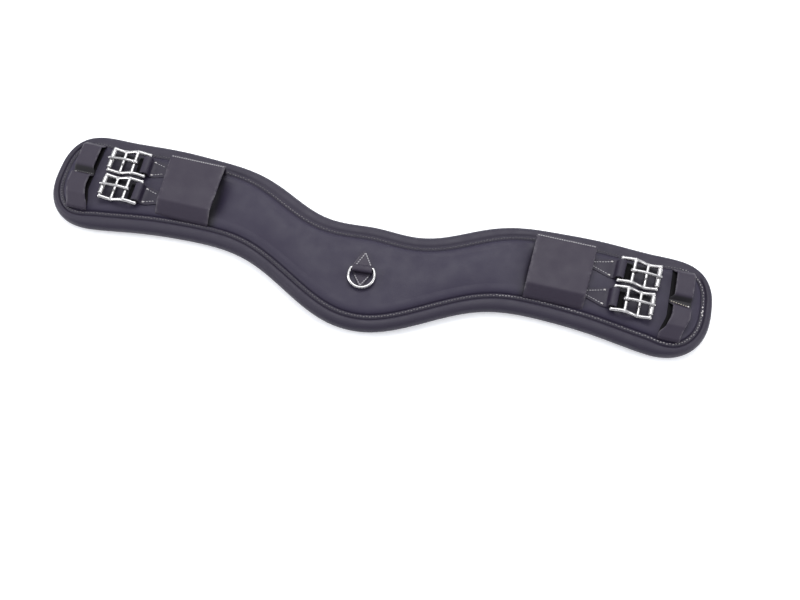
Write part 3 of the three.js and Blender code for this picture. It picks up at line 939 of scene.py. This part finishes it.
def loop_path(side):
    """The double loop in section, from the near seam to the far one, and its place along X."""
    low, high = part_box(f"billet_loops_{side}")
    middle = max(abs(low.x), abs(high.x)) / MM - LOOP_HALF_WIDTH
    top = high.z / MM - 1.0
    near = seam_y(middle - LOOP_LEAN, far=False)
    far = seam_y(middle, far=True)
    foot = STRAP_BASE + 1.0
    corners = [
        (near + 0.2, 18.2, 0),
        (near + 1.6, foot - 0.6, 1.2),
        (-3.5, top, 3.0),
        (LOOP_CREST_END[side], top, 3.0),
        (LOOP_SEAM_Y - LOOP_VALLEY[side], foot, 1.5),
        (LOOP_SEAM_Y + LOOP_VALLEY[side], foot, 1.5),
        (35.5, top, 3.0),
        (far - 7.0, top, 3.0),
        (far - 1.2, foot - 0.6, 1.2),
        (far - 0.2, 18.2, 0),
    ]
    return fillet(corners), middle


LOOP_MOUTH_CUT = {"left": 2.0, "right": 4.5}
LOOP_SEAM_REACH = 10.8


def loop_lean(y):
    """The near half of the loops lies a little further inboard."""
    return LOOP_LEAN * (1 - smoothstep(y, LEAN_END, LEAN_START))


def billet_loops(side, along):
    """One strap sewn down in the middle and at both ends; its crests are cut back inboard."""
    section, middle = loop_path(side)
    y, z = section.T
    recess = LOOP_MOUTH_CUT[side] * smoothstep(z, STRAP_BASE + 1.5, STRAP_BASE + 6.0)
    path = np.column_stack([along * (middle - loop_lean(y) + recess / 2), section])
    widths = LOOP_HALF_WIDTH - recess / 2
    skew = LOOP_SKEW[side] * smoothstep(y, 2, 14) * (1 - smoothstep(y, 25.5, 30.5))
    across = np.column_stack([np.full(len(path), along), -skew, np.zeros(len(path))])
    obj = ribbon(f"billet_loop_strap_{side}", path, across, widths, 2.0, STRAP, cuts=14, ripple=0.1)
    # Painted shade: the strap is darkened low down in the valley between its crests.
    place = points_of(obj) / MM
    below = 1 - smoothstep(place[:, 2], z.max() - 1.6, z.max() + 0.2)
    valley = smoothstep(place[:, 1], LOOP_CREST_END[side] - 1, LOOP_SEAM_Y)
    valley *= 1 - smoothstep(place[:, 1], 35, 38)
    paint(obj, "painted_shade", below * valley)
    finish_piece(obj, "girth", [f"billet_loops_{side}"])
    # Painted shade: a near-black sheet under the loops stands for the shade in their tunnels.
    y = np.linspace(section[0, 0] + 3.5, section[-1, 0] - 3.5, 60)
    flat = np.column_stack([along * (middle - loop_lean(y)), y, np.full(len(y), STRAP_BASE + 0.35)])
    tunnel_shade_ply = ribbon(f"billet_loop_shade_ply_{side}", flat, (along, 0, 0), 12.2, 0.7, SHADE_SHEET_LEATHER, cuts=10)
    finish_piece(tunnel_shade_ply, "girth")
    foot = STRAP_BASE + 2.1
    seam = LOOP_SEAM_Y + LOOP_SEAM_SHIFT[side]
    drop = LOOP_SEAM_REACH * LOOP_SKEW[side]
    start = (along * (middle - LOOP_SEAM_REACH), seam + drop, foot)
    end = (along * (middle + LOOP_SEAM_REACH), seam - drop, foot)
    centres, alongs = stitched_lines([(start, end)], 2.7)
    # Painted shade: the left row is sewn in dark thread, standing for the shade in its narrow valley; the
    # right row is cream.
    colour = {"left": DARK_THREAD, "right": CREAM_THREAD}[side]
    sew(f"loop_stitching_{side}", centres, alongs, 2.3, 0.5, colour)
    knot = centres[-1:] + [0, LOOP_KNOT_SHIFT[side], 0.4]
    sew(f"loop_knots_{side}", knot, alongs[-1:], 2.4, 0.85, LIGHT_THREAD)


CHAPE_SHOULDER = -10.5
CHAPE_TIP = -46.5
CHAPE_HALF_WIDTH = 11.75
TIP_HALF_WIDTH = 1.5
TAIL_PLY = 0.45
CREASE_X = {"left": -4.4, "right": -4.9}
ROLL_OUT = {"left": 5.3, "right": 4.7}
ROLL_IN = 3.2
ROLL_TOP = 3.4
ROLL_SQUARENESS = 0.8
ROLL_PLY = 2.0
SHADE_PLY_START = 2.0
SHADE_PLY_END = 12.6
V_STITCH_START = {"left": -6.5, "right": -10.0}
V_STITCH_RUN = {"left": 13.0, "right": 21.0}


def chape(side, row):
    """A strap folded round the buckle's inner bar, its two plies sewn down as a pointed tail."""
    bar_z = JOINTS[f"frame_lift_{side}_{row}"]["pos_m"][2] / MM
    ring = bar_z - STRAP_BASE - ROLL_PLY / 2
    low = STRAP_BASE + TAIL_PLY / 2 - 0.5
    lower = [(x, low) for x in np.linspace(CHAPE_TIP, -7, 30)]
    turn = []
    for angle in np.radians(np.linspace(-12, 246, 36)):
        out, down = boxy(angle, ROLL_SQUARENESS)
        x = out * (ROLL_OUT[side] if out > 0 else ROLL_IN)
        turn.append((x, bar_z - down * (ROLL_TOP if down < 0 else ring)))
    fold = CREASE_X[side]
    crease = [(fold + 1.1, 23.2), (fold, low + TAIL_PLY + 0.5)]
    upper = [(x, low + TAIL_PLY) for x in np.linspace(-9.0, CHAPE_TIP, 30)]
    section = smoothed(resample(np.array(lower + turn + crease + upper), 0.7), 2)
    x = section[:, 0]
    taper = np.clip((x - CHAPE_TIP) / (CHAPE_SHOULDER - CHAPE_TIP), 0, 1)
    widths = TIP_HALF_WIDTH + (CHAPE_HALF_WIDTH - TIP_HALF_WIDTH) * taper
    thick = TAIL_PLY + (ROLL_PLY - TAIL_PLY) * smoothstep(x, -7.5, -3.2)
    path = row_points(side, row, np.column_stack([x, np.zeros(len(x)), section[:, 1]]))
    hand_axis = row_points(side, row, [(0, 0, 0), (0, 1, 0)])
    across = hand_axis[1] - hand_axis[0]
    obj = ribbon(f"chape_fold_{side}_{row}", path, across, widths, thick, CHAPE, cuts=10)
    finish_piece(obj, "girth", [f"chape_{side}_{row}"])
    # Painted shade: a near-black sheet in the slot between the fold and the tongue bar.
    reach = np.linspace(SHADE_PLY_START, SHADE_PLY_END, 20)
    flat = np.column_stack([reach, 0 * reach, np.full(len(reach), STRAP_BASE + 0.2)])
    gap_shade_path = row_points(side, row, flat)
    gap_shade_ply = ribbon(f"chape_shade_ply_{side}_{row}", gap_shade_path, across, 12.0, 0.6, SHADE_SHEET_LEATHER)
    finish_piece(gap_shade_ply, "girth")
    z = low + 1.5 * TAIL_PLY + 0.1
    start = V_STITCH_START[side]
    run = V_STITCH_RUN[side]
    lines = []
    for hand in (-1, 1):
        ends = [(start, hand * 8.7, z), (start - run, hand * (8.7 - 0.3 * run), z)]
        lines.append(row_points(side, row, ends))
    centres, alongs = stitched_lines(lines, 3.1)
    sew(f"chape_stitching_{side}_{row}", centres, alongs, 2.8, 0.55, PALE_THREAD)
    dots = np.array([line[0] for line in lines])
    knots = np.concatenate([dots + [0, 0, 0.3], dots + [-0.8 * SIDES[side], 0, 0.5]])
    directions = np.array([line[1] - line[0] for line in lines] * 2)
    sew(f"chape_knots_{side}_{row}", knots, directions, 2.2, 0.85, LIGHT_THREAD)


# ---- Buckles ---------------------------------------------------------------------------
RAIL_SPACING = 29.0
RAIL_RADIUS = 2.1
BAR_RADIUS = 1.7
CROSS_BAR = (29.8, 23.6)
# How far from its middle each bar starts to thicken, from the innermost bar outwards.
BAR_THICKENS = (12.5, 2.3, -2.0, 12.5)
BAR_GAIN = 0.3
BAR_HALF_LENGTH = 14.5
ROLLER_HALF_LENGTH = 11.5
ROLLER_RADIUS = 3.0
ROLLER_BORE = 1.9


def smooth_path(points, step=0.7):
    """A Catmull-Rom curve through the points."""
    points = np.asarray(points, float)
    padded = np.vstack([2 * points[0] - points[1], points, 2 * points[-1] - points[-2]])
    made = []
    for a, b, c, d in zip(padded, padded[1:], padded[2:], padded[3:]):
        steps = max(2, int(np.linalg.norm(c - b) / step))
        for t in np.arange(steps) / steps:
            bend = (2 * a - 5 * b + 4 * c - d) * t**2
            made.append(0.5 * (2 * b + (c - a) * t + bend + (3 * b - a - 3 * c + d) * t**3))
    made.append(points[-1])
    return np.array(made)


def row_place(side, row):
    """Where a buckle row's innermost bar is, and its turn, at the right end or mirrored."""
    joint = JOINTS[f"frame_lift_{side}_{row}"]
    x, y, _ = (value / MM for value in joint["pos_m"])
    return abs(x), y, math.atan2(joint["axis"][0], abs(joint["axis"][1]))


def row_points(side, row, points):
    """Points given from the middle of a row's innermost bar, put on the girth (mm)."""
    *origin, turn = row_place(side, row)
    return set_down(points, origin, turn) * [SIDES[side], 1, 1]


def placed(obj, name, side, row):
    """A copy of a piece modelled about a row's innermost bar, for one end and row."""
    bar_x, bar_y, turn = row_place(side, row)
    along = SIDES[side]
    copy = obj.copy()
    copy.data = obj.data.copy()
    copy.name = name
    copy.data.transform(Matrix.Rotation(turn, 4, "Z"))
    copy.data.transform(Matrix.Translation((bar_x * MM, bar_y * MM, 0)))
    copy.data.transform(Matrix.Diagonal((along, 1, 1, 1)))
    if along < 0:
        copy.data.flip_normals()
    bpy.context.scene.collection.objects.link(copy)
    return copy


def buckle_master(bars):
    """Two rails that dip and rise, with four bars across, cast as one."""
    parts = []
    rail_line = [bars["chape"], bars["tongue"], CROSS_BAR, bars["roller"]]
    for hand in (-1, 1):
        rail = smooth_path([(x, hand * RAIL_SPACING / 2, z) for x, z in rail_line])
        parts.append(tube(rail, RAIL_RADIUS))
        for x, z in rail_line:
            knot = [(x, hand * (RAIL_SPACING / 2 - 0.5), z), (x, hand * (RAIL_SPACING / 2 + 0.5), z)]
            parts.append(tube(knot, RAIL_RADIUS + 0.1))
    y = np.linspace(-BAR_HALF_LENGTH, BAR_HALF_LENGTH, 59)
    for (x, z), start in zip(rail_line, BAR_THICKENS):
        line = np.column_stack([np.full(len(y), x), y, np.full(len(y), z)])
        parts.append(tube(line, BAR_RADIUS + BAR_GAIN * smoothstep(np.abs(y), start, start + 1)))
    return cast("buckle_frame", parts, 0.36, STEEL)


def roller_master(bars):
    """A short tube whose wall is a little thinner towards its rounded ends."""
    half = ROLLER_HALF_LENGTH
    lip = [(ROLLER_BORE, 0.2), (ROLLER_BORE + 0.25, 0.0), (ROLLER_RADIUS - 0.35, 0.0)]
    lip += [(ROLLER_RADIUS - 0.05, depth) for depth in (0.35, 1.0)]
    profile = [(radius, depth - half) for radius, depth in lip]
    profile += [(ROLLER_RADIUS, 0)]
    profile += [(radius, half - depth) for radius, depth in lip[::-1]]
    x, z = bars["roller"]
    return tidy(mesh_object("roller", *lathe_y(profile, (x, 0, z)), STEEL), 0.001)


def tongue_master(bars):
    """A band round its bar, with a pin that rises and comes to rest on the roller."""
    x, z = bars["tongue"]
    band = [
        (1.85, -1.7), (2.3, -2.0), (3.5, -2.0), (4.1, -1.5),
        (4.3, 0), (4.1, 1.5), (3.5, 2.0), (2.3, 2.0), (1.85, 1.7),
    ]
    end, rest = bars["roller"]
    rest += ROLLER_RADIUS + 1.7
    line = [(x - 2.0, 0, z + 1.9), (x + 3.0, 0, rest - 0.5), (x + 9, 0, rest + 0.55)]
    line += [(x + 19, 0, rest + 0.6), (end, 0, rest), (end + 2.0, 0, rest - 0.4)]
    path = smooth_path(line)
    radii = np.interp(np.linspace(0, 1, len(path)), [0, 0.15, 0.6, 1], [1.7, 1.75, 1.65, 1.4])
    return cast("tongue", [lathe_y(band, (x, 0, z)), tube(path, radii)], 0.26, STEEL, smooth=4)


def buckles():
    def bar(joint):
        inner = Vector(JOINTS["frame_lift_right_far"]["pos_m"]) / MM
        place = Vector(JOINTS[joint + "_right_far"]["pos_m"]) / MM
        return math.hypot(place.x - inner.x, place.y - inner.y), place.z

    joints = {"chape": "frame_lift", "tongue": "tongue_lift", "roller": "roller_spin"}
    bars = {name: bar(joint) for name, joint in joints.items()}
    masters = {"frame": buckle_master(bars), "roller": roller_master(bars), "tongue": tongue_master(bars)}
    for side in SIDES:
        for row in ROWS:
            for part, master in masters.items():
                piece = placed(master, f"steel_{part}_{side}_{row}", side, row)
                finish_piece(piece, f"{part}_{side}_{row}", [f"buckle_{part}_{side}_{row}"])
    for master in masters.values():
        bpy.data.objects.remove(master)


# ---- Middle D-ring ---------------------------------------------------------------------
RING_TURN = math.radians(8)
RING_RADIUS = 14.7
RING_WIRE = 1.8
RING_DROP = 8.2
PATCH_REACH = 23.0
PATCH_HALF_WIDTH = 12.0
RING_CHAPE_HALF = 11.3
PATCH_THICKNESS = 1.2
FOLD_REACH = 4.6
FOLD_RISE = 2.8
FOLD_SKEW = math.radians(3.5)
FOLD_SQUARENESS = 0.55


def d_ring():
    """A bow and a straight bar of round wire, tilted until the bow rests on the patch."""
    centre = Vector(JOINTS["d_ring_swing"]["pos_m"]) / MM
    half = math.sqrt(RING_RADIUS**2 - RING_DROP**2)
    start = math.atan2(RING_DROP, half)
    angles = np.linspace(start, -math.pi - start, 80)
    reach = RING_RADIUS + RING_DROP
    tip_z = STRAP_BASE + PATCH_THICKNESS + 0.1 + RING_WIRE
    tilt = math.asin((centre.z - tip_z) / reach)
    local = np.column_stack([RING_RADIUS * np.cos(angles), RING_RADIUS * np.sin(angles) - RING_DROP])
    z = centre.z + local[:, 1] * math.sin(tilt)
    bow = np.column_stack([local[:, 0], local[:, 1] * math.cos(tilt), z])
    bar_x = np.linspace(-half, half, 40)
    bar = np.column_stack([bar_x, 0 * bar_x, np.full(len(bar_x), centre.z)])
    wires = [(bow, RING_WIRE), (bar, RING_WIRE - 0.05)]
    parts = [tube(set_down(line, centre, RING_TURN), wire) for line, wire in wires]
    obj = cast("steel_d_ring", parts, 0.34, STEEL)
    finish_piece(obj, "ring", ["d_ring"])


def ring_leathers():
    """The pointed patch, the fold that holds the ring's bar, and the stitching of both."""
    centre = Vector(JOINTS["d_ring_swing"]["pos_m"]) / MM
    across = (math.cos(RING_TURN), math.sin(RING_TURN), 0)
    along = np.linspace(-PATCH_REACH, PATCH_REACH, 70)
    middle_z = np.full(len(along), STRAP_BASE + PATCH_THICKNESS / 2)
    flat = set_down(np.column_stack([0 * along, along, middle_z]), centre, RING_TURN)
    widths = TIP_HALF_WIDTH + (PATCH_HALF_WIDTH - TIP_HALF_WIDTH) * (1 - np.abs(along) / PATCH_REACH)
    patch = ribbon("ring_patch", flat, across, widths, PATCH_THICKNESS, STRAP, cuts=8)
    finish_piece(patch, "girth", ["d_ring_patch"])

    low = STRAP_BASE + PATCH_THICKNESS + 0.2
    tail = [(a, low + 0.4) for a in np.linspace(PATCH_REACH - 0.5, 3.0, 26)]
    wrap = np.linspace(0, math.radians(190), 24)
    turn = []
    for angle in wrap:
        out, down = boxy(angle, FOLD_SQUARENESS)
        turn.append((-FOLD_REACH * out, centre.z - FOLD_RISE * down))
    back = [(a, low + 1.25) for a in np.linspace(4.5, PATCH_REACH - 0.5, 26)]
    section = smoothed(resample(np.array(tail + turn + back), 0.6), 3)
    share = np.clip((section[:, 0] - 4) / (PATCH_REACH - 4.5), 0, 1)
    widths = RING_CHAPE_HALF - (RING_CHAPE_HALF - TIP_HALF_WIDTH) * share
    path = set_down(np.column_stack([np.zeros(len(section)), section]), centre, RING_TURN)
    askew = (math.cos(RING_TURN - FOLD_SKEW), math.sin(RING_TURN - FOLD_SKEW), 0)
    fold = ribbon("ring_chape", path, askew, widths, 0.95, STRAP, cuts=8)
    finish_piece(fold, "girth", ["d_ring_chape"])

    top = low + 1.25 + 0.55
    bottom = STRAP_BASE + PATCH_THICKNESS + 0.1
    lines = []
    for hand in (-1, 1):
        lines.append(((0.9 + hand * 8.4, 4.6, top), (1.6, 20.4, top)))
        lines.append(((hand * 8.0 - 0.2, -7.6 - hand * 0.5, bottom), (-0.6, -19.6, bottom)))
    lines = [set_down(line, centre, RING_TURN) for line in lines]
    centres, alongs = stitched_lines(lines, 2.9)
    sew("ring_stitching", centres, alongs, 2.8, 0.6, PALE_THREAD)


# ---- Assembly --------------------------------------------------------------------------
add_camera()
add_studio()
lining()
cover()
rim()
rim_stitching()
for side_name, direction in SIDES.items():
    keeper(side_name, direction)
    billet_loops(side_name, direction)
    for row_name in ROWS:
        chape(side_name, row_name)
buckles()
d_ring()
ring_leathers()
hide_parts("web_core")
